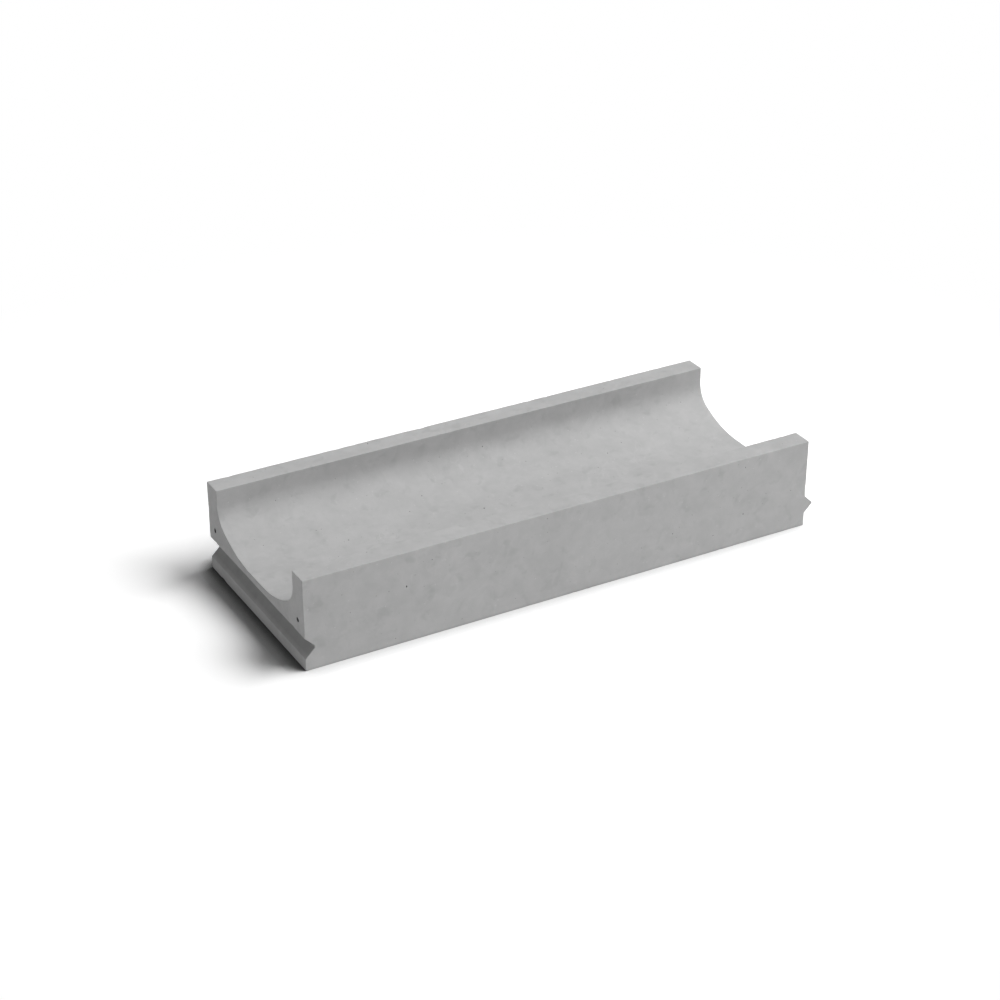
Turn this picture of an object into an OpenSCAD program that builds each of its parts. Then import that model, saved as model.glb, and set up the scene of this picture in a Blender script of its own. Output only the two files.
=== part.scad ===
// Concrete drainage channel, one cast unit laid end to end in a row.
// Frame: +X along the run from the groove end to the tongue end, +Z up,
// origin at the middle of the flat base over the laying length.

/* [Channel body] */
// Laying length, from the grooved end face to the shoulder of the tongue
laying_l = 1000; // [500:10:2000]
// Overall width across the outer sides
channel_w = 388; // [300:1:600]
// Overall height from the base to the rims
channel_h = 172; // [140:1:300]
// Thickness of each side wall at its rim
wall_t = 40; // [30:1:50]
// Thickness of the floor under the lowest line of the trough
floor_t = 75.5; // [60:0.5:90]

/* [Trough] */
// Width of the flat strip along the lowest line of the trough
invert_w = 54; // [20:1:90]
// Radius of the curve that turns up into each side wall. A low channel has a tighter one.
corner_r = 48; // [20:1:58]
// Height of the upright part of each side wall, down from its rim
wall_straight = 28.5; // [5:0.5:34]

/* [Tongue and groove] */
// How far the tongue stands out of its end face
tongue_out = 16.5; // [8:0.5:25]
// Height of the tongue where it leaves its end face
tongue_h = 34; // [16:0.5:42]
// Height of the narrow flat along the tongue's tip
tongue_tip_h = 1.5; // [0.5:0.5:6]
// Gap between the flanks of a tongue and of the groove it enters, square to the flanks
flank_gap = 2; // [1.5:0.25:4]
// Gap between a tongue's tip and the bottom of the groove it enters
tip_gap = 1; // [0.5:0.25:1.5]
// Concrete left between the groove's upper edge and the lowest line of the trough
groove_cover = 13; // [8:0.5:20]

/* [Dowel holes] */
// Diameter of each dowel hole in the grooved end face
dowel_d = 8; // [6:0.5:14]
// Depth of each dowel hole
dowel_depth = 60; // [20:1:120]
// Distance from an outer side to the nearest hole's centre
dowel_inset = 25; // [18:1:32]
// Height of the hole centres above the lowest line of the trough
dowel_rise = 11; // [4:0.5:30]

/* [Hidden] */
$fn = 96;

// Cuts run this far past the faces they open
overrun = 10;
// A corner arc takes at most this share of the trough curve's rise
corner_share = 0.9;
// A trough whose curve rises more than this share of its run has flanks with a straight slope
steep_share = 0.95;
// The wedge that a flank's disc is sliced with runs at least this many of its radii out
wedge_radii = 2;

// Trough, measured up from its invert: a flat strip, a flank arc on each side, and a corner
// arc that turns each flank up into its wall. In a deep trough one arc would bulge past the wall,
// so a straight slope joins a smaller flank arc to the corner arc.
trough_half = channel_w / 2 - wall_t;
flank_y = invert_w / 2;
curve_rise = channel_h - floor_t - wall_straight;
corner = min(corner_r, corner_share * curve_rise);
corner_y = trough_half - corner;
flank_run = corner_y - flank_y;
steep_r = steep_share * (trough_half - flank_y);
deep = curve_rise > steep_r;
// In a shallow trough, the one radius that is tangent both to the flat strip and to the corner arc
flank_r = deep ? steep_r
    : (pow(flank_run, 2) + pow(curve_rise, 2) - pow(corner, 2)) / (2 * (curve_rise - corner));
flank_drop = flank_r - curve_rise;

// Tongue and groove: the groove is the tongue's wedge with each flank moved out by the flank gap
flank_slope = (tongue_h - tongue_tip_h) / (2 * tongue_out);
groove_half = tongue_h / 2 + flank_gap * sqrt(1 + pow(flank_slope, 2));
groove_depth = tongue_out + tip_gap;
groove_tip_half = groove_half - groove_depth * flank_slope;
// Height above the base of the line that the tongue and the groove are centred on
joint_z = floor_t - groove_cover - groove_half;

// Outline of the unit seen from its side, in X and Z: a long block with the tongue standing
// out of one end and the groove sunk into the other
module side_outline() {
    face = laying_l / 2;
    polygon([
        [-face, 0],
        [face, 0],
        [face, joint_z - tongue_h / 2],
        [face + tongue_out, joint_z - tongue_tip_h / 2],
        [face + tongue_out, joint_z + tongue_tip_h / 2],
        [face, joint_z + tongue_h / 2],
        [face, channel_h],
        [-face, channel_h],
        [-face, joint_z + groove_half],
        [-face + groove_depth, joint_z + groove_tip_half],
        [-face + groove_depth, joint_z - groove_tip_half],
        [-face, joint_z - groove_half]
    ]);
}

// One flank of the trough: the slice of its disc that hangs between its arc's two ends
module flank_slice() {
    centre = [flank_y, flank_r];
    reach = ceil(wedge_radii * flank_r / (flank_r - corner));
    intersection() {
        translate(centre)
            circle(r = flank_r);
        polygon([
            centre,
            centre + reach * [flank_run, -flank_drop],
            centre - [0, (wedge_radii + 1) * flank_r],
            centre + reach * [-flank_run, -flank_drop]
        ]);
    }
}

// One flank of a deep trough: its whole disc, and the space inside the slope that is tangent to
// the disc and to the corner arc
module steep_flank() {
    centre = [flank_y, flank_r];
    to_corner = [flank_run, -flank_drop];
    turn = atan2(to_corner[1], to_corner[0]) - acos((flank_r - corner) / norm(to_corner));
    outward = [cos(turn), sin(turn)];
    translate(centre)
        circle(r = flank_r);
    polygon([
        [0, flank_r],
        centre + flank_r * outward,
        centre + to_corner + corner * outward,
        [corner_y, curve_rise + overrun],
        [0, curve_rise + overrun]
    ]);
}

// Open section of the trough in Y and Z, from its invert up past the rims. Its pieces overlap,
// so that no thin web is left between them.
module trough_section() {
    translate([-trough_half, curve_rise])
        square([2 * trough_half, wall_straight + overrun]);
    translate([-flank_y, 0])
        square([invert_w, curve_rise + overrun]);
    for (side = [0, 1])
        mirror([side, 0]) {
            if (deep) steep_flank(); else flank_slice();
            translate([corner_y, curve_rise])
                circle(r = corner);
        }
}

// The block, as wide as the channel, with its tongue and its groove
module block()
    translate([0, channel_w / 2, 0])
        rotate([90, 0, 0])
            linear_extrude(height = channel_w)
                side_outline();

// The trough's open space along the whole run, past both end faces
module trough()
    translate([-laying_l / 2 - overrun, 0, floor_t])
        rotate([90, 0, 90])
            linear_extrude(height = laying_l + 2 * overrun)
                trough_section();

// Both dowel holes, bored in from the grooved end face
module dowel_holes()
    for (side = [-1, 1])
        translate([-laying_l / 2 - overrun, side * (channel_w / 2 - dowel_inset), floor_t + dowel_rise])
            rotate([0, 90, 0])
                cylinder(d = dowel_d, h = dowel_depth + overrun);

// The whole unit is one casting
module channel()
    color([0.70, 0.70, 0.70])
        difference() {
            block();
            trough();
            dowel_holes();
        }

channel();
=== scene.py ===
# %% [markdown]
# # A cast concrete drainage channel
#
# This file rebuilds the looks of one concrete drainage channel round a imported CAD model. The CAD
# model says how big the channel is and where it lies. What it leaves out is what makes concrete
# look cast: rounded arrises (the long edges), air holes, faces that are a little out of true, and
# the clouded grey of the surface itself.
#
# The lesson goes in the order of a real shoot: the object's frame first, then the camera, the
# light, the floor, the shape and last the finish. Everything is in metres, and +X runs from the
# grooved end to the tongued end.

# %% Load the frame
import math

import bmesh
import bpy
import numpy as np
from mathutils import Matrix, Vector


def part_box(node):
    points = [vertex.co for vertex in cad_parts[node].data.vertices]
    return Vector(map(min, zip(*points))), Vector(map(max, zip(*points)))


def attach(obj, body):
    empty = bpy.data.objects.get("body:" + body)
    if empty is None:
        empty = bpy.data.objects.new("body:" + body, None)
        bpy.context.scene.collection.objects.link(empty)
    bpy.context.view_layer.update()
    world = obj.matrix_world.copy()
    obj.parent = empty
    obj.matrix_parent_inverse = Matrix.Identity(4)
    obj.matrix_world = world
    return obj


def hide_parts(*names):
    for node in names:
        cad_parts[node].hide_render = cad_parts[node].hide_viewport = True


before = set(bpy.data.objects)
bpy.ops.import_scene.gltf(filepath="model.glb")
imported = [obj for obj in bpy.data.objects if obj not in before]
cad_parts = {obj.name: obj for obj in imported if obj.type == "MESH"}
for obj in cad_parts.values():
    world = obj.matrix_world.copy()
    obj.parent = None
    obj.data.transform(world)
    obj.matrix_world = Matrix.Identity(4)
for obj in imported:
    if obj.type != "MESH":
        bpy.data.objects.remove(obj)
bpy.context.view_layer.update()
low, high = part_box("channel")
mm = 0.001

# %% [markdown]
# ## The camera
#
# A long lens keeps straight edges nearly parallel, which is how catalogues show building parts. The
# camera is set by four plain facts: the point it aims at, how far it is turned about the upright
# axis, how far it looks down, and its distance. Its place follows from them, so one fact can be
# changed without upsetting the others.

# %% Place the camera
aim = np.array([-14.6, 19.5, 88.4]) * mm
turned = math.radians(-29.343)
looks_down = math.radians(28.796)
distance = 4.2076
backwards = np.array([math.sin(turned) * math.cos(looks_down),
                      -math.cos(turned) * math.cos(looks_down),
                      math.sin(looks_down)])
lens = bpy.data.cameras.new("Catalogue lens")
lens.lens = 85.0
lens.sensor_width = 36.0
camera = bpy.data.objects.new("Catalogue camera", lens)
camera.location = aim + backwards * distance
camera.rotation_euler = (math.pi / 2 - looks_down, 0.0, turned)
bpy.context.scene.collection.objects.link(camera)
bpy.context.scene.camera = camera
print("camera at", [round(v, 4) for v in camera.location])

# %% [markdown]
# ## The light
#
# Concrete is dull, so its shape is told by light and shade alone. The key lamp, large and soft,
# stands high beyond the tongued end and looks back along the run. It leaves the grooved end in
# shade, and lets light pass down the open trough onto the floor. Three weaker lamps fill in: one
# from the near side, one from the far side, and a low one that keeps the grooved end readable. All
# stand far off, so that the light hardly falls away along the run. The sky is white to the eye and
# nearly dark as a lamp. Together they are set so that a surface that faces up comes out about as
# bright as its own colour says.

# %% Build the lamps and the sky
scene = bpy.context.scene
scene.view_settings.view_transform = "Standard"


def node(tree, kind, **settings):
    """Adds one shader node and sets its sockets or properties by name."""
    made = tree.nodes.new(kind)
    for name, value in settings.items():
        label = name.replace("_", " ")
        if label in made.inputs:
            made.inputs[label].default_value = value
        else:
            setattr(made, name, value)
    return made


def soft_lamp(name, towards, far, across, watts):
    """A round lamp `across` wide, `far` away from the channel in the direction `towards`, facing
    the channel.
    """
    way = np.array(towards) / np.linalg.norm(towards)
    data = bpy.data.lights.new(name, "AREA")
    data.shape = "DISK"
    data.size = across
    data.energy = watts
    made = bpy.data.objects.new(name, data)
    made.location = aim + way * far
    made.rotation_euler = (math.acos(way[2]), 0.0, math.atan2(way[1], way[0]) + math.pi / 2)
    scene.collection.objects.link(made)
    print(name, "at", [round(v, 2) for v in made.location])


soft_lamp("Key lamp", (0.80, -0.29, 1.0), 16.0, 13.0, 3060.0)
soft_lamp("Near side lamp", (0.9, -0.9, 0.38), 14.0, 7.8, 535.0)
soft_lamp("Far side lamp", (0.6, 0.6, 0.8), 9.0, 7.0, 125.0)
soft_lamp("Low lamp", (-1.0, -0.1, 0.14), 6.0, 1.5, 56.0)


def in_sight(tree):
    """One where the eye looks, straight, in a mirror or through glass, and zero where light only
    bounces.
    """
    path = node(tree, "ShaderNodeLightPath")
    straight_or_mirrored = node(tree, "ShaderNodeMath", operation="ADD", use_clamp=True)
    either = node(tree, "ShaderNodeMath", operation="ADD", use_clamp=True)
    tree.links.new(path.outputs["Is Camera Ray"], straight_or_mirrored.inputs[0])
    tree.links.new(path.outputs["Is Glossy Ray"], straight_or_mirrored.inputs[1])
    tree.links.new(straight_or_mirrored.outputs[0], either.inputs[0])
    tree.links.new(path.outputs["Is Transmission Ray"], either.inputs[1])
    return either.outputs[0]


world = bpy.data.worlds.new("White sky")
world.use_nodes = True
scene.world = world
sky = world.node_tree
sky.nodes.clear()
even = node(sky, "ShaderNodeBackground", Color=(1.0, 1.0, 1.0, 1.0), Strength=0.04)
white = node(sky, "ShaderNodeBackground", Color=(1.0, 1.0, 1.0, 1.0), Strength=1.0)
choose = node(sky, "ShaderNodeMixShader")
sky_out = node(sky, "ShaderNodeOutputWorld")
sky.links.new(in_sight(sky), choose.inputs[0])
sky.links.new(even.outputs[0], choose.inputs[1])
sky.links.new(white.outputs[0], choose.inputs[2])
sky.links.new(choose.outputs[0], sky_out.inputs["Surface"])
print("sky strength", even.inputs["Strength"].default_value)

# %% [markdown]
# ## The floor
#
# The floor is a plain white sheet at the height of the channel's base. It takes the channel's
# shadow, and it throws light back at the sides. Far from the channel it fades into pure white, so
# that no horizon shows.

# %% Lay the floor
floor_mesh = bpy.data.meshes.new("Floor")
floor_half = 30.0
floor_corners = [(floor_half * x, floor_half * y, 0.0) for x, y in ((-1, -1), (1, -1), (1, 1), (-1, 1))]
floor_mesh.from_pydata(floor_corners, [], [(0, 1, 2, 3)])
floor = bpy.data.objects.new("Floor", floor_mesh)
scene.collection.objects.link(floor)
print("floor", 2 * floor_half, "m square at height 0")

# %% [markdown]
# Large soft lamps reach so far round a block that its shadow stays pale right up to its foot. A
# real floor is darker there, because the block's foot and the floor hide each other from everything
# else. An ambient-occlusion node measures that: it answers 1 where the floor is open and less where
# something stands close. Its normal may lean, and then it looks to one side only. One shade looks
# towards the lamps, and so it darkens only the floor that the channel hides from them. The other
# looks straight across at the near side, and draws the thin grey line along its foot.

# %% Shade the floor where the channel stands on it
floor_finish = bpy.data.materials.new("White floor")
floor_finish.use_nodes = True
ground = floor_finish.node_tree
ground.nodes.clear()


def contact_shade(azimuth, height, look, stops):
    """A grey by how open the floor is within `look` metres, round a normal at this azimuth and
    height in degrees.

    The stops say which openness gives which grey, and the greys between them are blended.
    """
    azimuth, height = math.radians(azimuth), math.radians(height)
    lean = node(ground, "ShaderNodeCombineXYZ", X=math.cos(azimuth) * math.cos(height),
                Y=math.sin(azimuth) * math.cos(height), Z=math.sin(height))
    nook = node(ground, "ShaderNodeAmbientOcclusion", samples=16, Distance=look)
    shade = node(ground, "ShaderNodeValToRGB")
    ground.links.new(lean.outputs[0], nook.inputs["Normal"])
    ground.links.new(nook.outputs["AO"], shade.inputs[0])
    ramp = shade.color_ramp.elements
    for openness, _ in stops[1:-1]:
        ramp.new(openness)
    for stop, (openness, grey) in zip(ramp, stops):
        stop.position, stop.color = openness, (grey, grey, grey, 1.0)
    return shade.outputs["Color"]


away_from_light = contact_shade(-60.0, 10.0, 35.0 * mm, ((0.62, 0.16), (0.81, 0.75), (1.0, 1.18)))
along_the_foot = contact_shade(90.0, 10.0, 40.0 * mm, ((0.45, 0.74), (1.0, 1.0)))
deepen = node(ground, "ShaderNodeVectorMath", operation="MULTIPLY")
ground.links.new(away_from_light, deepen.inputs[0])
ground.links.new(along_the_foot, deepen.inputs[1])
print("contact shades ready")

# %% [markdown]
# Only the eye sees those shades. The light that bounces off the floor onto the channel comes from
# one even grey, so the shades don't darken the concrete as well.

# %% Finish the floor
white_from, white_at = 0.65, 1.5
sheet = node(ground, "ShaderNodeBsdfDiffuse", Color=(0.78, 0.78, 0.78, 1.0))
sheet_seen = node(ground, "ShaderNodeBsdfDiffuse")
glow = node(ground, "ShaderNodeEmission", Color=(1.0, 1.0, 1.0, 1.0), Strength=1.0)
spread = node(ground, "ShaderNodeTexCoord")
away = node(ground, "ShaderNodeVectorMath", operation="LENGTH")
fade = node(ground, "ShaderNodeMapRange", interpolation_type="SMOOTHSTEP",
            From_Min=white_from, From_Max=white_at)
seen = node(ground, "ShaderNodeMixShader")
pick = node(ground, "ShaderNodeMixShader")
floor_out = node(ground, "ShaderNodeOutputMaterial")
ground.links.new(deepen.outputs["Vector"], sheet_seen.inputs["Color"])
ground.links.new(spread.outputs["Object"], away.inputs[0])
ground.links.new(away.outputs["Value"], fade.inputs["Value"])
ground.links.new(fade.outputs["Result"], seen.inputs[0])
ground.links.new(sheet_seen.outputs[0], seen.inputs[1])
ground.links.new(glow.outputs[0], seen.inputs[2])
ground.links.new(in_sight(ground), pick.inputs[0])
ground.links.new(sheet.outputs[0], pick.inputs[1])
ground.links.new(seen.outputs[0], pick.inputs[2])
ground.links.new(pick.outputs[0], floor_out.inputs["Surface"])
floor_mesh.materials.append(floor_finish)
print("floor finish", len(ground.nodes), "nodes")

# %% [markdown]
# ## The cross-section
#
# Seen from its end, the channel is a block with a trough in its top: a flat strip along the bottom
# (the invert), a shallow arc up each flank, a tighter arc in each corner and a short upright wall.
# The flank's radius isn't chosen. It is the only one that runs smoothly into both the flat strip
# and the corner arc.

# %% Work out the trough's curve
side_y, rim_z = float(high[1]), float(high[2])
wall_thick, floor_thick = 40.0 * mm, 75.5 * mm
invert_half, corner_r, upright = 27.0 * mm, 48.0 * mm, 28.5 * mm
flat_points, flank_points, corner_points = 5, 15, 10
inner_y = side_y - wall_thick
spring_z = rim_z - upright
rise = spring_z - floor_thick
run = inner_y - corner_r - invert_half
flank_r = (run**2 + rise**2 - corner_r**2) / (2 * (rise - corner_r))
meeting = math.atan2(run, flank_r - rise)


def half_trough():
    """Points from the middle of the invert to the foot of the upright wall, and the way into the
    concrete there.

    Flat strip: height = floor thickness. Flank: the invert's edge plus the flank's radius times
    (sin a, 1 - cos a), with a from straight down to the meeting angle. Corner: the same with the
    corner's radius, from there to level.
    """
    flat = np.linspace(0.0, invert_half, flat_points)[:-1]
    a = np.linspace(0.0, meeting, flank_points)
    b = np.linspace(meeting, math.pi / 2, corner_points)[1:]
    y = np.concatenate([flat, invert_half + flank_r * np.sin(a),
                        inner_y - corner_r + corner_r * np.sin(b)])
    z = np.concatenate([0 * flat + floor_thick, floor_thick + flank_r * (1 - np.cos(a)),
                        spring_z - corner_r * np.cos(b)])
    into = np.concatenate([0 * flat, a, b])
    return np.stack([y, z], -1), np.stack([np.sin(into), -np.cos(into)], -1)


trough, trough_into = half_trough()
print("flank radius", round(flank_r / mm, 1), "mm, trough points", len(trough))

# %% [markdown]
# ## The joint
#
# Each end carries half of a joint that keeps neighbours in line: a wedge-shaped tongue at one end
# and a groove at the other. Both are one idea, the distance that an end face stands out at each
# height. That distance goes in straight lines, and its corners are eased by short parabolas,
# because fresh concrete never fills or leaves a mould with a knife edge.

# %% Say how far each end stands out at each height
tongue_out, tongue_high, tongue_tip = 16.5 * mm, 34.0 * mm, 1.5 * mm
flank_gap, tip_gap, groove_cover = 2.0 * mm, 1.0 * mm, 13.0 * mm
groove_x, tongue_x = float(low[0]), float(high[0]) - tongue_out
lean_of_flank = (tongue_high - tongue_tip) / (2 * tongue_out)
groove_half = tongue_high / 2 + flank_gap * math.hypot(1.0, lean_of_flank)
groove_deep = tongue_out + tip_gap
joint_z = floor_thick - groove_cover - groove_half
ease = 0.8 * mm


def turns(half_high, deep):
    """The four heights at which an end face changes direction, from the lowest up."""
    tip = half_high - deep * lean_of_flank
    return joint_z + np.array([-half_high, -tip, tip, half_high])


def soft_ramp(u):
    """Zero below 0 and u above it, with the corner eased: (u + ease) squared over 4 ease within
    ease of 0.
    """
    return np.where(np.abs(u) < ease, (u + ease) ** 2 / (4 * ease), np.maximum(u, 0.0))


def wedge(z, at):
    """How far the wedge reaches in x at height z: a ramp up, a flat tip and a ramp down, each one
    soft.
    """
    return sum(sign * soft_ramp(z - height) for sign, height in zip((1, -1, -1, 1), at)) / lean_of_flank


groove_turns = turns(groove_half, groove_deep)
tongue_turns = turns(tongue_high / 2, tongue_out)
print("joint at height", round(joint_z / mm, 2), "mm, groove", np.round(groove_turns / mm, 2),
      "tongue", np.round(tongue_turns / mm, 2))

# %% [markdown]
# ## The rows of points
#
# The skin is a grid: rows run along the channel, and stations stand across it. Up each side the
# rows crowd together where the tongue and the groove turn, but only near the ends. Towards the
# middle they spread out evenly, so that the long side is covered by cells of about the same size.

# %% Set out the rows and the stations
arris = 1.0 * mm
steps = 4
straight_stations = 252
ledge_z = 68.0 * mm
wall_columns = side_y - np.array([38.0, 33.0, 25.0, 17.0, 8.5, 2.2]) * mm
over_ledge = np.array([78.5, 86.5, 94.5, 103.0, 111.0, 119.0, 127.0, 135.0]) * mm
wall_rows = spring_z + upright * np.array([1, 2, 3]) / 4


def side_rows(at):
    """Heights of the rows at an end whose face turns at these four heights."""
    bend = np.array([-1.0, -1 / 3, 1 / 3, 1.0]) * ease
    return np.concatenate([
        [8.0 * mm, 15.0 * mm], at[0] + bend, np.linspace(at[0] + ease, at[1] - ease, 4)[1:-1],
        np.linspace(at[1] - ease, at[2] + ease, 9), np.linspace(at[2] + ease, at[3] - ease, 4)[1:-1],
        at[3] + bend, [ledge_z], over_ledge, [spring_z], wall_rows])


groove_rows, tongue_rows = side_rows(groove_turns), side_rows(tongue_turns)
even_rows = np.linspace(0.0, rim_z, len(groove_rows) + 2)[1:-1]
base_columns = np.concatenate([np.linspace(0.0, inner_y, len(trough)), wall_columns])
base_columns = np.concatenate([-base_columns[:0:-1], base_columns])

along = np.linspace(groove_x + arris, tongue_x - arris, straight_stations)
swing = np.linspace(90.0, 0.0, steps + 1)[:-1]
swing = np.radians(np.concatenate([swing, 0 * along, swing[::-1]]))
station_x = np.concatenate([groove_x + arris * (1 - np.sin(swing[:steps])), along,
                            tongue_x - arris * (1 - np.sin(swing[-steps:]))])
inset = arris * (1 - np.cos(swing))


def fading(distance, over=70.0 * mm):
    """One at an end, falling smoothly to zero over the given distance: 1 - (3 t squared - 2 t
    cubed).
    """
    t = np.clip((distance - arris) / over, 0.0, 1.0)
    return 1 - t * t * (3 - 2 * t)


near_groove, near_tongue = fading(station_x - groove_x), fading(tongue_x - station_x)
print(len(even_rows), "rows up each side,", len(station_x), "stations")

# %% [markdown]
# ## The skin
#
# The outline of the section goes once round: along the base, up a side, over a rim, down through
# the trough and back. Each sharp corner becomes a small arc, written as the corner plus a radius
# times a rounding vector, so that the radius can wander along the run as a real arris does. At both
# ends the outline also shrinks by the arris' radius as it turns into the end face, which rounds the
# end's edge in the same way.

# %% Carry the outline along the run


def wander(where, wavelength, seed, waves=16):
    """Smooth random height from -1 to 1: the mean of sines that run in random directions, each with
    a wavelength near the one asked for, times three quarters of the root of their number, and
    clipped.
    """
    draw = np.random.default_rng(seed)
    way = draw.normal(size=(waves, where.shape[-1]))
    way /= np.linalg.norm(way, axis=1, keepdims=True)
    way *= 2 * math.pi / (wavelength * draw.uniform(0.6, 1.7, (waves, 1)))
    phase = draw.uniform(0.0, 2 * math.pi, waves)
    return np.clip(np.sin(where @ way.T + phase).mean(-1) * math.sqrt(waves) * 0.75, -1.0, 1.0)


stretches = []
radius_swing, radius_wave, corner_count = 0.30, 45.0 * mm, 6
ones = np.ones_like(station_x)


def straight(name, y, z, into):
    """Adds points of a flat or curved stretch: y and z may change from station to station, into is
    a direction.
    """
    y, z = np.broadcast_arrays(np.asarray(y)[..., None] * ones if np.ndim(y) < 2 else y,
                               np.asarray(z)[..., None] * ones if np.ndim(z) < 2 else z)
    into = np.broadcast_to(into, (len(y), 2))
    stretches.append((name, y, z, 0 * into, into, np.zeros(len(y))))


def rounded(name, y, z, arriving, leaving):
    """Adds an eased corner: corner - arriving (1 - sin f) + leaving (1 - cos f) times the radius, f
    from 0 to 90.
    """
    f = np.linspace(0.0, math.pi / 2, steps + 1)[:, None]
    arriving, leaving = np.array(arriving, float), np.array(leaving, float)
    vector = -arriving * (1 - np.sin(f)) + leaving * (1 - np.cos(f))
    into = leaving * np.cos(f) - arriving * np.sin(f)
    full = np.ones((steps + 1, 1)) * ones
    stretches.append((name, y * full, z * full, vector, into, np.sin(2 * f[:, 0])))


side_z = (even_rows[:, None] + near_groove * (groove_rows - even_rows)[:, None]
          + near_tongue * (tongue_rows - even_rows)[:, None])
right_to_left = np.concatenate([trough[::-1], trough[1:] * [-1, 1]])
right_to_left_into = np.concatenate([trough_into[::-1], trough_into[1:] * [-1, 1]])
straight("base", base_columns, 0 * base_columns, (0, 1))
rounded("arris", side_y, 0.0, (1, 0), (0, 1))
straight("far side", side_y + 0 * side_z, side_z, (-1, 0))
rounded("arris", side_y, rim_z, (0, 1), (-1, 0))
straight("far rim", wall_columns[::-1], 0 * wall_columns + rim_z, (0, -1))
rounded("arris", inner_y, rim_z, (-1, 0), (0, -1))
straight("far wall", 0 * wall_rows + inner_y, wall_rows[::-1], (1, 0))
straight("trough", right_to_left[:, 0], right_to_left[:, 1], right_to_left_into)
straight("near wall", 0 * wall_rows - inner_y, wall_rows, (-1, 0))
rounded("arris", -inner_y, rim_z, (0, 1), (-1, 0))
straight("near rim", -wall_columns, 0 * wall_columns + rim_z, (0, -1))
rounded("arris", -side_y, rim_z, (-1, 0), (0, -1))
straight("near side", -side_y + 0 * side_z, side_z[::-1], (1, 0))
rounded("arris", -side_y, 0.0, (0, -1), (1, 0))

first_row, row_count = {}, 0
for name, y, *_ in stretches:
    first_row[name] = row_count
    row_count += len(y)
outline_y, outline_z, rounding, into, rowness = (np.concatenate([part[k] for part in stretches])
                                                 for k in (1, 2, 3, 4, 5))
free = (1 - near_groove) * (1 - near_tongue)
radius = np.stack([arris * (1 + radius_swing * free * wander(station_x[:, None], radius_wave, 100 + k))
                   for k in range(corner_count)])
first_of_corner = np.diff(rowness > 0.0, prepend=False) * (rowness > 0.0)
corner_of_row = np.clip(np.cumsum(first_of_corner) - 1, 0, corner_count - 1)
skin_y = outline_y + radius[corner_of_row] * rounding[:, :1] + inset * into[:, :1]
skin_z = outline_z + radius[corner_of_row] * rounding[:, 1:] + inset * into[:, 1:]
skin_x = (station_x + near_groove * wedge(outline_z, groove_turns)
          + near_tongue * wedge(outline_z, tongue_turns))
skin = np.stack([skin_x, skin_y, skin_z], -1)
skin_arris = np.maximum(rowness[:, None] * np.cos(swing), np.sin(2 * swing))
print("skin grid", skin.shape[:2], "rows by stations")

# %% [markdown]
# ## The end faces
#
# Each end face is a grid too. Its lower rows run straight across and follow the tongue or the
# groove. Above the ledge they bend up to meet the trough's edge, and two small grids close the tops
# of the walls. The borders use the same formulas as the skin, so their points fall exactly on the
# skin's last station.

# %% Build both end faces


def end_grids(rows, at, face_x):
    """Three grids of points for one end: the broad one up to the trough, and one on top of each
    wall.

    Below the ledge, y is the base's column and z the row. Above it both go in a straight line from
    the ledge to the trough's edge: value = (1 - v) ledge + v edge. x is the face plus the wedge at
    that height.
    """
    half = len(trough)
    edge = np.concatenate([trough + arris * trough_into,
                           np.stack([wall_columns, 0 * wall_columns + spring_z], -1),
                           [[side_y - arris, spring_z]]])
    edge = np.concatenate([edge[:0:-1] * [-1, 1], edge])
    foot = np.concatenate([[-side_y + arris], base_columns, [side_y - arris]])
    split = len(rows) - len(wall_rows)
    heights = np.concatenate([[arris], rows[:split]])
    v = np.clip((heights - ledge_z) / (spring_z - ledge_z), 0.0, 1.0)[:, None]
    y = (1 - v) * foot + v * edge[:, 0]
    z = np.where(v > 0, (1 - v) * ledge_z + v * edge[:, 1], heights[:, None])
    tops = np.concatenate([[spring_z], wall_rows, [rim_z - arris]])
    across = np.concatenate([[inner_y + arris], wall_columns, [side_y - arris]])
    grids = [(y, z), np.meshgrid(across, tops), np.meshgrid(-across[::-1], tops)]
    return [np.stack([face_x + wedge(gz, at), gy, gz], -1) for gy, gz in grids]


groove_end = end_grids(groove_rows, groove_turns, groove_x)
tongue_end = [grid[:, ::-1] for grid in end_grids(tongue_rows, tongue_turns, tongue_x)]
print("end grids", [grid.shape[:2] for grid in groove_end])

# %% [markdown]
# No mould is perfectly flat. Every face of the cast lies a fraction of a millimetre inside its true
# place, here more and there less, in one slow wave and one quicker one. The skin moves straight
# into the concrete, and turns with the rounded end edge until it moves along the run, as the whole
# end face does. So the borders still meet.

# %% Put the faces a little out of true
slow_dip, slow_wave = 0.22 * mm, 170.0 * mm
quick_dip, quick_wave = 0.09 * mm, 38.0 * mm


def dip(where):
    """How far a point lies inside the true face: a slow wave and a quicker one, neither ever below
    zero.
    """
    return (slow_dip * (1 + wander(where, slow_wave, 21)) / 2
            + quick_dip * (1 + wander(where, quick_wave, 22)) / 2)


end_ward = np.sin(swing) * np.where(station_x < 0.0, 1.0, -1.0)
inwards = np.stack([end_ward + 0 * skin_y, into[:, :1] * np.cos(swing), into[:, 1:] * np.cos(swing)], -1)
deepest = dip(skin).max()
skin += dip(skin)[..., None] * inwards
for end, way in ((groove_end, 1.0), (tongue_end, -1.0)):
    for grid in end:
        grid[..., 0] += way * dip(grid)
print("deepest dip", round(float(deepest) / mm, 3), "mm")

# %% [markdown]
# ## Holes
#
# Cast concrete is full of air. Bubbles that rest against the mould leave small round pits, and two
# drilled-looking dowel holes go into the grooved end. Each is cut in the same way: a block of four
# cells is taken out of a grid, and its eight border points are sewn to the ring of a hollow that
# goes down in a few smaller rings.

# %% Write the helpers that cut and sew
stock, faces_four, faces_three = [], [], []
border_i = np.array([0, 1, 2, 2, 2, 1, 0, 0])
border_j = np.array([0, 0, 0, 1, 2, 2, 2, 1])


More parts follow.
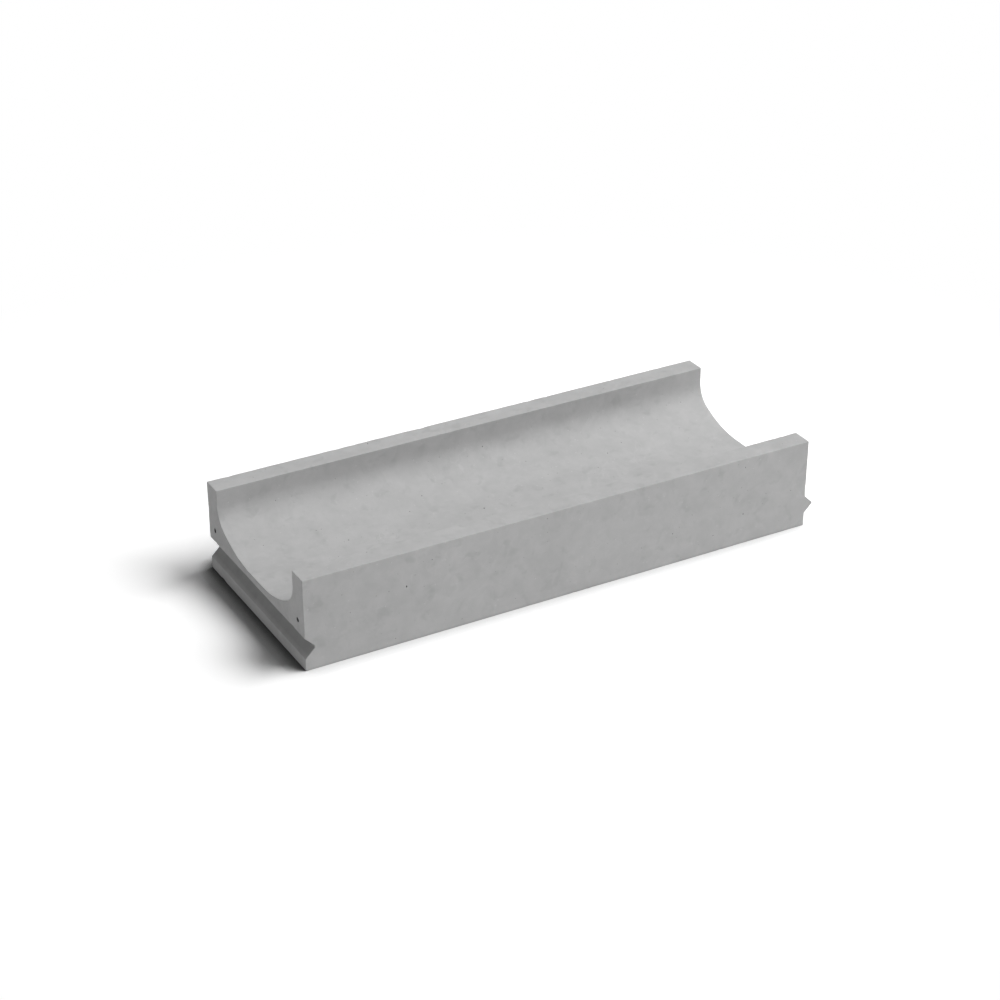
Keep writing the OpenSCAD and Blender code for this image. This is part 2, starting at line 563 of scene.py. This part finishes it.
def store(grid, wear_and_shade_mark=None):
    """Puts a grid's points and their marks (arris wear, painted shade) in the stock, and returns each
    one's number.
    """
    start = sum(len(rows) for rows in stock)
    wear_and_shade_mark = np.zeros(grid.shape[:-1]) if wear_and_shade_mark is None else wear_and_shade_mark
    stock.append(np.concatenate([grid.reshape(-1, 3), wear_and_shade_mark.reshape(-1, 1)], 1))
    return start + np.arange(wear_and_shade_mark.size).reshape(wear_and_shade_mark.shape)


def take_out(number, kept, i, j):
    """Removes the 2 x 2 cells from row i and station j on, and returns the numbers of their 8
    border points.
    """
    for di, dj in ((0, 0), (0, 1), (1, 0), (1, 1)):
        kept[i + di, j + dj] = False
    return number[i[:, None] + border_i, j[:, None] + border_j]


def add_cells(number, kept):
    """Adds every kept cell of a grid as a four-sided face."""
    corners = [number[:-1, :-1], number[1:, :-1], number[1:, 1:], number[:-1, 1:]]
    faces_four.append(np.stack(corners, -1)[kept])


def sink(grid, number, kept, i, j, shift, size, fine, profile, shape=None):
    """Sinks one hollow in each block. A ring point is centre + size * width * (cos a, sin a) in the
    plane of the block, pushed in by size * depth. The profile lists each ring's width and depth,
    from the mouth down.
    """
    border = take_out(number, kept, i, j)
    u = grid[i + 2, j + 1] - grid[i, j + 1]
    v = grid[i + 1, j + 2] - grid[i + 1, j]
    u /= np.linalg.norm(u, axis=1, keepdims=True)
    out = np.cross(u, v)
    out /= np.linalg.norm(out, axis=1, keepdims=True)
    v = np.cross(out, u)
    middle = grid[i + 1, j + 1] + shift[:, :1] * u + shift[:, 1:] * v
    points = 16 if fine else 8
    towards_first_border_point = math.radians(225.0)
    a = towards_first_border_point + np.arange(points) * 2 * math.pi / points
    width = np.array([w for w, _ in profile])[None, :, None]
    depth = np.array([d for _, d in profile])[None, :, None]
    reach = size[:, None, None] * width * (1.0 if shape is None else shape(a)[:, None, :])
    rings = (middle[:, None, None] + (reach * np.cos(a))[..., None] * u[:, None, None]
             + (reach * np.sin(a))[..., None] * v[:, None, None]
             - (size[:, None, None] * depth)[..., None] * out[:, None, None])
    bottom = middle - (size * profile[-1][1] * 1.04)[:, None] * out
    # Ring points below the mouth get the mark -1, which the finish paints darker: painted shade in the
    # hollow.
    painted_shade_mark = np.broadcast_to(np.where(depth > 0.0, -1.0, 0.0), rings.shape[:-1])
    ring, end = store(rings, painted_shade_mark), store(bottom, -np.ones(len(bottom)))
    here, after = ring, np.roll(ring, -1, -1)
    between_rings = [here[:, :-1], after[:, :-1], after[:, 1:], here[:, 1:]]
    faces_four.append(np.stack(between_rings, -1).reshape(-1, 4))
    last = np.broadcast_to(end[:, None], here[:, -1].shape)
    faces_three.append(np.stack([here[:, -1], after[:, -1], last], -1).reshape(-1, 3))
    mouth, turned_border = ring[:, 0], np.roll(border, -1, 1)
    if fine:
        even, odd, following = mouth[:, 0::2], mouth[:, 1::2], np.roll(mouth[:, 0::2], -1, 1)
        for corners_three in ((border, turned_border, odd), (border, odd, even),
                              (turned_border, following, odd)):
            faces_three.append(np.stack(corners_three, -1).reshape(-1, 3))
    else:
        around = [border, turned_border, np.roll(mouth, -1, 1), mouth]
        faces_four.append(np.stack(around, -1).reshape(-1, 4))


print("helpers ready")

# %% [markdown]
# The air holes are drawn at random from a fixed seed, so they fall in the same places each time.
# Most are under two millimetres across, and a few larger bubbles were trapped on the sides, in the
# trough and on the rims. The mouth of each is a little oval and uneven, and the larger ones are
# deeper and have a finer rim. A hole keeps clear of its block's border, so the larger it is, the
# less it may stray from the middle.

# %% Sink the air holes in the skin
skin_number = store(skin, skin_arris)
closed = np.concatenate([skin_number, skin_number[:1]])
kept = np.ones((closed.shape[0] - 1, closed.shape[1] - 1), bool)
draw = np.random.default_rng(7)
small_pit = [(1.12, 0.0), (0.97, 0.15), (0.65, 0.7)]
large_pit = [(1.12, 0.0), (1.0, 0.15), (0.85, 0.6), (0.5, 1.0)]
least_tall, room, lip = 7.4 * mm, 2.6 * mm, 1.4
large_holes = [("near side", 8, 0.95), ("far side", 8, 0.95), ("trough", 6, 0.95),
               ("near rim", 1, 0.95), ("far rim", 1, 0.95)]
small_holes = [("near side", 75, 0.55), ("far side", 75, 0.55), ("trough", 120, 0.62),
               ("base", 40, 0.55), ("near rim", 6, 0.55), ("far rim", 6, 0.55)]
taken = set()


def uneven(count):
    """Gives each mouth its own outline: 1 + an oval swing + a smaller three-lobed one."""
    oval, turn, lobe, twist = draw.uniform(0, 1, (4, count, 1))
    return lambda a: (1 + (0.05 + 0.20 * oval) * np.sin(2 * a + 6.28 * turn)
                      + 0.10 * lobe * np.sin(3 * a + 6.28 * twist))


def pit_blocks(name, rows, count):
    """Picks blocks of four cells at random on one stretch of the outline, none of them twice and
    none too low to hold a pit, as those are where the rows crowd together at the ends.
    """
    i = first_row[name] + np.arange(0, rows - 2, 2)
    j = np.arange(steps + 6, len(station_x) - steps - 8, 2)
    spots = np.stack(np.meshgrid(i, j, indexing="ij"), -1).reshape(-1, 2)
    lower, upper = skin[spots[:, 0], spots[:, 1] + 1], skin[spots[:, 0] + 2, spots[:, 1] + 1]
    spots = spots[np.linalg.norm(upper - lower, axis=1) > least_tall]
    shuffled = [tuple(spot) for spot in spots[draw.permutation(len(spots))]]
    picked = [spot for spot in shuffled if spot not in taken][:count]
    taken.update(picked)
    return np.array(picked).reshape(-1, 2)


def air_holes(holes, least, most, fine, profile):
    """Sinks a number of holes on each stretch. Their radii in millimetres lie around the typical
    one as the exponential of a normal spread, cut off at the least and the most.
    """
    for name, count, typical in holes:
        spots = pit_blocks(name, rows_on[name], count)
        size = np.clip(np.exp(draw.normal(math.log(typical), 0.25, len(spots))), least, most) * mm
        shift = draw.uniform(-1.0, 1.0, (len(spots), 2)) * (room - lip * size[:, None])
        shape = uneven(len(spots))
        sink(closed_skin, closed, kept, spots[:, 0], spots[:, 1], shift, size, fine, profile, shape)


rows_on = {"near side": len(even_rows), "far side": len(even_rows), "trough": len(right_to_left),
           "base": len(base_columns), "near rim": len(wall_columns), "far rim": len(wall_columns)}
closed_skin = np.concatenate([skin, skin[:1]])
air_holes(large_holes, 0.8, 1.6, True, large_pit)
air_holes(small_holes, 0.4, 1.2, False, small_pit)
add_cells(closed, kept)
print(len(taken), "air holes in the skin")

# %% [markdown]
# The dowel holes sit in the grooved end, one in each wall, where four cells meet at the right place
# by design. Their mouths are slightly rounded, and they go straight in to a flat bottom.

# %% Close both ends
dowel_r, dowel_deep = 4.0 * mm, 60.0 * mm
dowel_inset, dowel_z = 25.0 * mm, floor_thick + 11.0 * mm
dowel_ys = (-side_y + dowel_inset, side_y - dowel_inset)
shade_over = 4 * mm
bottom_at = dowel_deep / dowel_r
straight_in = [(1.22, 0.0), (1.06, 0.06), (1.0, 0.25), (1.0, bottom_at - 0.3), (0.88, bottom_at)]
for end in (groove_end, tongue_end):
    for grid in end:
        # Points inside the groove get a mark that the finish paints darker: painted shade in the groove.
        painted_shade_mark = np.clip((grid[..., 0] - groove_x) / shade_over, 0.0, 1.0) if end is groove_end else 0.0
        number = store(grid, -0.5 * painted_shade_mark * np.ones(grid.shape[:-1]))
        kept = np.ones((grid.shape[0] - 1, grid.shape[1] - 1), bool)
        if grid is groove_end[0]:
            row = np.argmin(np.abs(grid[:, 1, 2] - dowel_z)) - 1
            columns = [np.argmin(np.abs(grid[1, :, 1] - y)) - 1 for y in dowel_ys]
            sink(grid, number, kept, np.array([row, row]), np.array(columns), np.zeros((2, 2)),
                 np.full(2, dowel_r), True, straight_in)
            print("dowel holes at", np.round(grid[row + 1, np.array(columns) + 1] / mm, 1).tolist())
        add_cells(number, kept)

# %% [markdown]
# ## One closed body
#
# The grids now only touch. Merging the points that share a place turns them into one watertight
# body, and the normals are worked out afresh so that every face looks outwards. Then the arrises
# are nibbled here and there, always inwards.

# %% Sew the grids together
points = np.concatenate(stock)
four, three = np.concatenate(faces_four), np.concatenate(faces_three)
mesh = bpy.data.meshes.new("channel body")
mesh.from_pydata(points[:, :3].tolist(), [], four.tolist() + three.tolist())
# The arris attribute holds arris wear and the painted shade marks of the hollows and the groove.
wear_and_painted_shade = mesh.attributes.new("arris", "FLOAT", "POINT")
wear_and_painted_shade.data.foreach_set("value", points[:, 3].astype(np.float32))
shell = bmesh.new()
shell.from_mesh(mesh)
same_place = 0.02 * mm
bmesh.ops.remove_doubles(shell, verts=shell.verts, dist=same_place)
bmesh.ops.delete(shell, geom=[v for v in shell.verts if not v.link_faces], context="VERTS")
bmesh.ops.recalc_face_normals(shell, faces=shell.faces)
open_edges = sum(not edge.is_manifold for edge in shell.edges)
volume = shell.calc_volume(signed=True)
shell.to_mesh(mesh)
shell.free()
print("points", len(mesh.vertices), "faces", len(mesh.polygons), "open edges", open_edges,
      "litres", round(volume * 1000, 3))

# %% Nibble the arrises
where = np.empty(len(mesh.vertices) * 3)
mesh.vertices.foreach_get("co", where)
where = where.reshape(-1, 3)
run_half, across_half = 0.49, 0.18
ledge_edge = joint_z + groove_half
least_bite, more_bite = 0.15, 0.9
edges = [(16, (-run_half, -side_y, rim_z), (run_half, -side_y, rim_z), (0, 1, -1)),
         (8, (-run_half, -inner_y, rim_z), (run_half, -inner_y, rim_z), (0, -1, -1)),
         (8, (-run_half, inner_y, rim_z), (run_half, inner_y, rim_z), (0, 1, -1)),
         (14, (-run_half, side_y, rim_z), (run_half, side_y, rim_z), (0, -1, -1)),
         (12, (-run_half, -side_y, 0.0), (run_half, -side_y, 0.0), (0, 1, 1)),
         (12, (-run_half, side_y, 0.0), (run_half, side_y, 0.0), (0, -1, 1)),
         (3, (groove_x, -side_y, 0.07), (groove_x, -side_y, 0.165), (1, 1, 0)),
         (3, (groove_x, side_y, 0.07), (groove_x, side_y, 0.165), (1, -1, 0)),
         (3, (tongue_x, -side_y, 0.065), (tongue_x, -side_y, 0.165), (-1, 1, 0)),
         (5, (groove_x, -across_half, ledge_edge), (groove_x, across_half, ledge_edge), (1, 0, 1)),
         (5, (groove_x, -across_half, 0.0), (groove_x, across_half, 0.0), (1, 0, 1))]
for count, start, stop, way_in in edges:
    start, stop = np.array(start), np.array(stop)
    way_in = np.array(way_in) / np.linalg.norm(way_in)
    shares = draw.uniform(0, 1, count)
    breadths = draw.uniform(2.5, 7.0, count)
    depths = draw.uniform(0, 1, count)
    for share, broad, deep in zip(shares, breadths, depths):
        centre = start + share * (stop - start)
        gap = ((where - centre) ** 2).sum(1)
        bite = (least_bite + more_bite * deep**3) * mm
        where += way_in * (bite * np.exp(-gap / (broad * mm) ** 2))[:, None]
mesh.vertices.foreach_set("co", where.reshape(-1))
mesh.polygons.foreach_set("use_smooth", np.ones(len(mesh.polygons), bool))
mesh.update()
print("nibbles on", len(edges), "arrises")

# %% Make it a piece of the object
channel = bpy.data.objects.new("channel_cast", mesh)
scene.collection.objects.link(channel)
flatten = channel.modifiers.new("Flat faces stay flat", "WEIGHTED_NORMAL")
flatten.mode = "FACE_AREA"
flatten.weight = 50
flatten.keep_sharp = False
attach(channel, "root")
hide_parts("channel")
triangles = sum(len(p.vertices) - 2 for p in mesh.polygons)
print("triangles", triangles)

# %% [markdown]
# ## The finish
#
# Cast concrete looks grey and plain from afar, and is neither. The cement skin is clouded where
# water and fines gathered, smudged where the mould was oiled, and dotted with sand. All of that is
# faint here: the broad patterns move the grey by a few hundredths at most. The patterns are added
# up, and the sum picks a grey between a dark and a light one. They read object coordinates, so they
# run through the body in space and meet at the arrises.

# %% Write the helpers that mix patterns
concrete = bpy.data.materials.new("Cast concrete")
concrete.use_nodes = True
tree = concrete.node_tree
tree.nodes.clear()
spot = node(tree, "ShaderNodeTexCoord").outputs["Object"]


def noise(scale, detail=3.0, rough=0.5, twist=0.0):
    """A cloudy pattern with this many features in a metre; its value lies round one half."""
    made = node(tree, "ShaderNodeTexNoise", Scale=scale, Detail=detail, Roughness=rough,
                Distortion=twist)
    tree.links.new(spot, made.inputs["Vector"])
    return made.outputs["Fac"]


def span(value, low, high, to_low, to_high):
    """Stretches low..high of a value smoothly onto to_low..to_high."""
    made = node(tree, "ShaderNodeMapRange", interpolation_type="SMOOTHSTEP", From_Min=low, From_Max=high,
                To_Min=to_low, To_Max=to_high)
    tree.links.new(value, made.inputs["Value"])
    return made.outputs["Result"]


def sums(operation, first, *others):
    """Joins values one after another with one operation; any of the others may be a number."""
    for other in others:
        made = node(tree, "ShaderNodeMath", operation=operation)
        tree.links.new(first, made.inputs[0])
        if isinstance(other, (int, float)):
            made.inputs[1].default_value = other
        else:
            tree.links.new(other, made.inputs[1])
        first = made.outputs[0]
    return first


def dots(scale, size, share, value, moved=(0.0, 0.0, 0.0)):
    """Small round spots: a share of a Voronoi pattern's cells is kept, each with one spot of this
    value in it.
    """
    there = node(tree, "ShaderNodeVectorMath", operation="ADD")
    tree.links.new(spot, there.inputs[0])
    there.inputs[1].default_value = moved
    made = node(tree, "ShaderNodeTexVoronoi", Scale=scale)
    tree.links.new(there.outputs[0], made.inputs["Vector"])
    lot = node(tree, "ShaderNodeSeparateColor")
    tree.links.new(made.outputs["Color"], lot.inputs[0])
    return sums("MULTIPLY", span(made.outputs["Distance"], 0.3 * size, size, value, 0.0),
                sums("LESS_THAN", lot.outputs[0], share))


print("pattern helpers ready")

# %% [markdown]
# Now the colour. Broad clouds and finer blotches come first. Then come darker smudges and paler
# bloom, which are noise cut off at a level, so that they stand apart from each other with plain
# skin between. Hair-thin wisps run where a noise passes through one half. Last come dark pinpricks,
# which are painted shade for pores too small to model, each with a painted highlight beside it on
# one side, and sand.

# %% Mix the colour
clouds = span(noise(7.5, 3.0, 0.5, 0.5), 0.32, 0.68, 0.47, 0.57)
blotches = span(noise(30.0, 3.0, 0.55, 0.3), 0.25, 0.75, -0.12, 0.12)
mottle = span(noise(85.0, 2.0, 0.5), 0.25, 0.75, -0.045, 0.045)
sand = span(noise(700.0, 2.0, 0.7), 0.2, 0.8, -0.03, 0.03)
smudges = span(noise(44.0, 2.0, 0.45, 0.4), 0.57, 0.76, 0.0, -0.26)
patches = span(noise(17.0, 3.0, 0.6, 0.8), 0.56, 0.63, 0.0, -0.09)
bloom = span(noise(20.0, 3.0, 0.6, 0.8), 0.58, 0.72, 0.0, 0.15)
line = sums("ABSOLUTE", sums("SUBTRACT", noise(21.0, 2.0, 0.5, 1.0), 0.5), 0.0)
wisps = sums("MULTIPLY", span(line, 0.005, 0.018, 0.16, 0.0),
             span(noise(11.0, 2.0), 0.56, 0.66, 0.0, 1.0))
# Dark pinpricks: painted shade of tiny pores, which also dip the bump below.
pore_dips_and_painted_shade = dots(150.0, 0.18, 0.03, -0.70)
# Painted highlights: a pale dot moved to one side of each pinprick, as if its rim caught the light.
painted_rim_highlights = dots(150.0, 0.26, 0.03, 0.60, (-1.5 * mm, -0.8 * mm, 1.6 * mm))
grains = dots(160.0, 0.22, 0.035, 0.50)
total = sums("ADD", clouds, blotches, mottle, sand, smudges, patches, bloom, wisps, pore_dips_and_painted_shade,
             painted_rim_highlights, grains)
print("colour patterns", len(tree.nodes), "nodes so far")

# %% [markdown]
# The mesh carries one more fact at each point: plus one on a rounded arris, minus one inside a
# hollow and minus a half in the groove. An arris is rubbed a little lighter, in patches. A hollow
# is painted darker, as painted shade, and so is the groove. The foot is painted darker too over its
# lowest few millimetres, as painted contact shade where it stands on the floor.

# %% Mark the arrises, and paint shade into the hollows, the groove and the foot
wear_and_shade_mark = node(tree, "ShaderNodeAttribute", attribute_name="arris").outputs["Fac"]
rubbed = sums("MULTIPLY", span(wear_and_shade_mark, 0.1, 1.0, 0.0, 1.0),
              span(noise(60.0, 3.0, 0.6), 0.35, 0.65, 0.0, 0.18))
darkest, palest = 0.36, 0.50
painted_shade_foot_high = 5.0 * mm
grey = node(tree, "ShaderNodeValToRGB")
grey.color_ramp.elements[0].color = (darkest, darkest, darkest, 1.0)
grey.color_ramp.elements[1].color = (palest, palest, palest, 1.0)
tree.links.new(sums("ADD", total, rubbed), grey.inputs[0])
height = node(tree, "ShaderNodeSeparateXYZ")
tree.links.new(spot, height.inputs[0])
# Painted contact shade: the lowest few millimetres are painted darker, down to 0.86.
foot = span(height.outputs["Z"], 0.0, painted_shade_foot_high, 0.86, 1.0)
# Painted shade: the hollows, the groove and the foot are made darker here.
grey_with_painted_shade = node(tree, "ShaderNodeVectorMath", operation="SCALE")
tree.links.new(grey.outputs["Color"], grey_with_painted_shade.inputs[0])
tree.links.new(sums("MULTIPLY", span(wear_and_shade_mark, -1.0, -0.1, 0.5, 1.0), foot), grey_with_painted_shade.inputs["Scale"])
print("marks linked")

# %% [markdown]
# Sand grains give the skin its tooth, far too small to model. Bump does that, in three sizes: the
# grain itself, the faint orange peel of cement against a mould, and the shallow waves of the mould
# board. The pinpricks dip with them.

# %% Roughen the surface and link the shader
tooth = sums("MULTIPLY", noise(1100.0, 3.0, 0.65), 0.25)
peel = sums("MULTIPLY", noise(240.0), 0.35)
waves = sums("MULTIPLY", noise(40.0, 2.0), 0.9)
relief = node(tree, "ShaderNodeBump", Strength=0.5, Distance=0.5 * mm)
tree.links.new(sums("ADD", tooth, peel, waves, pore_dips_and_painted_shade), relief.inputs["Height"])
surface = node(tree, "ShaderNodeBsdfPrincipled", Specular_IOR_Level=0.25)
finish_out = node(tree, "ShaderNodeOutputMaterial")
tree.links.new(grey_with_painted_shade.outputs["Vector"], surface.inputs["Base Color"])
tree.links.new(span(noise(50.0, 3.0, 0.6), 0.3, 0.7, 0.80, 0.93), surface.inputs["Roughness"])
tree.links.new(relief.outputs["Normal"], surface.inputs["Normal"])
tree.links.new(surface.outputs[0], finish_out.inputs["Surface"])
mesh.materials.append(concrete)
print("cast concrete", len(tree.nodes), "nodes")
